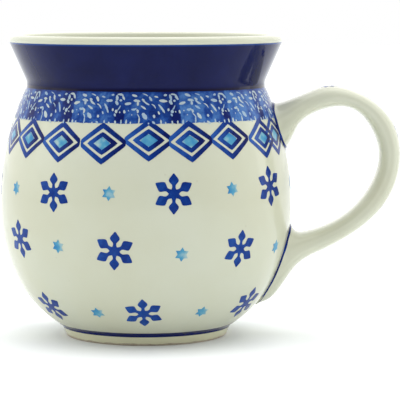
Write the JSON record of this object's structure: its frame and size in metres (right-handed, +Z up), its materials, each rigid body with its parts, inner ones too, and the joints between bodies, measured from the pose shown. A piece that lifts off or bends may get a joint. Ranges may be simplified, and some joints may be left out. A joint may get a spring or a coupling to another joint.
{
  "type": "stoneware mug",
  "caption": "Round-bellied stoneware mug with a flared cobalt collar, hand-stamped folk pattern, foot ring and luted strap handle.",
  "frame": {"origin": "centre of the foot ring, on the plane the mug stands on", "axes": "+Z up along the vessel's axis, +X from the axis towards the handle, which lies in the XZ plane"},
  "size_m": [0.1396, 0.1016, 0.105],
  "materials": {
    "decorated_glaze": "cream glaze with cobalt collar and sponge-stamped blue snowflakes, stars and lozenges",
    "clear_glaze": "glossy cream glaze over pale stoneware",
    "fired_clay": "fired clay slip"
  },
  "bodies": {
    "root": {"vessel": "decorated_glaze", "handle": "clear_glaze", "upper_joint_slip": "fired_clay", "lower_joint_slip": "fired_clay"}
  },
  "joints": []
}
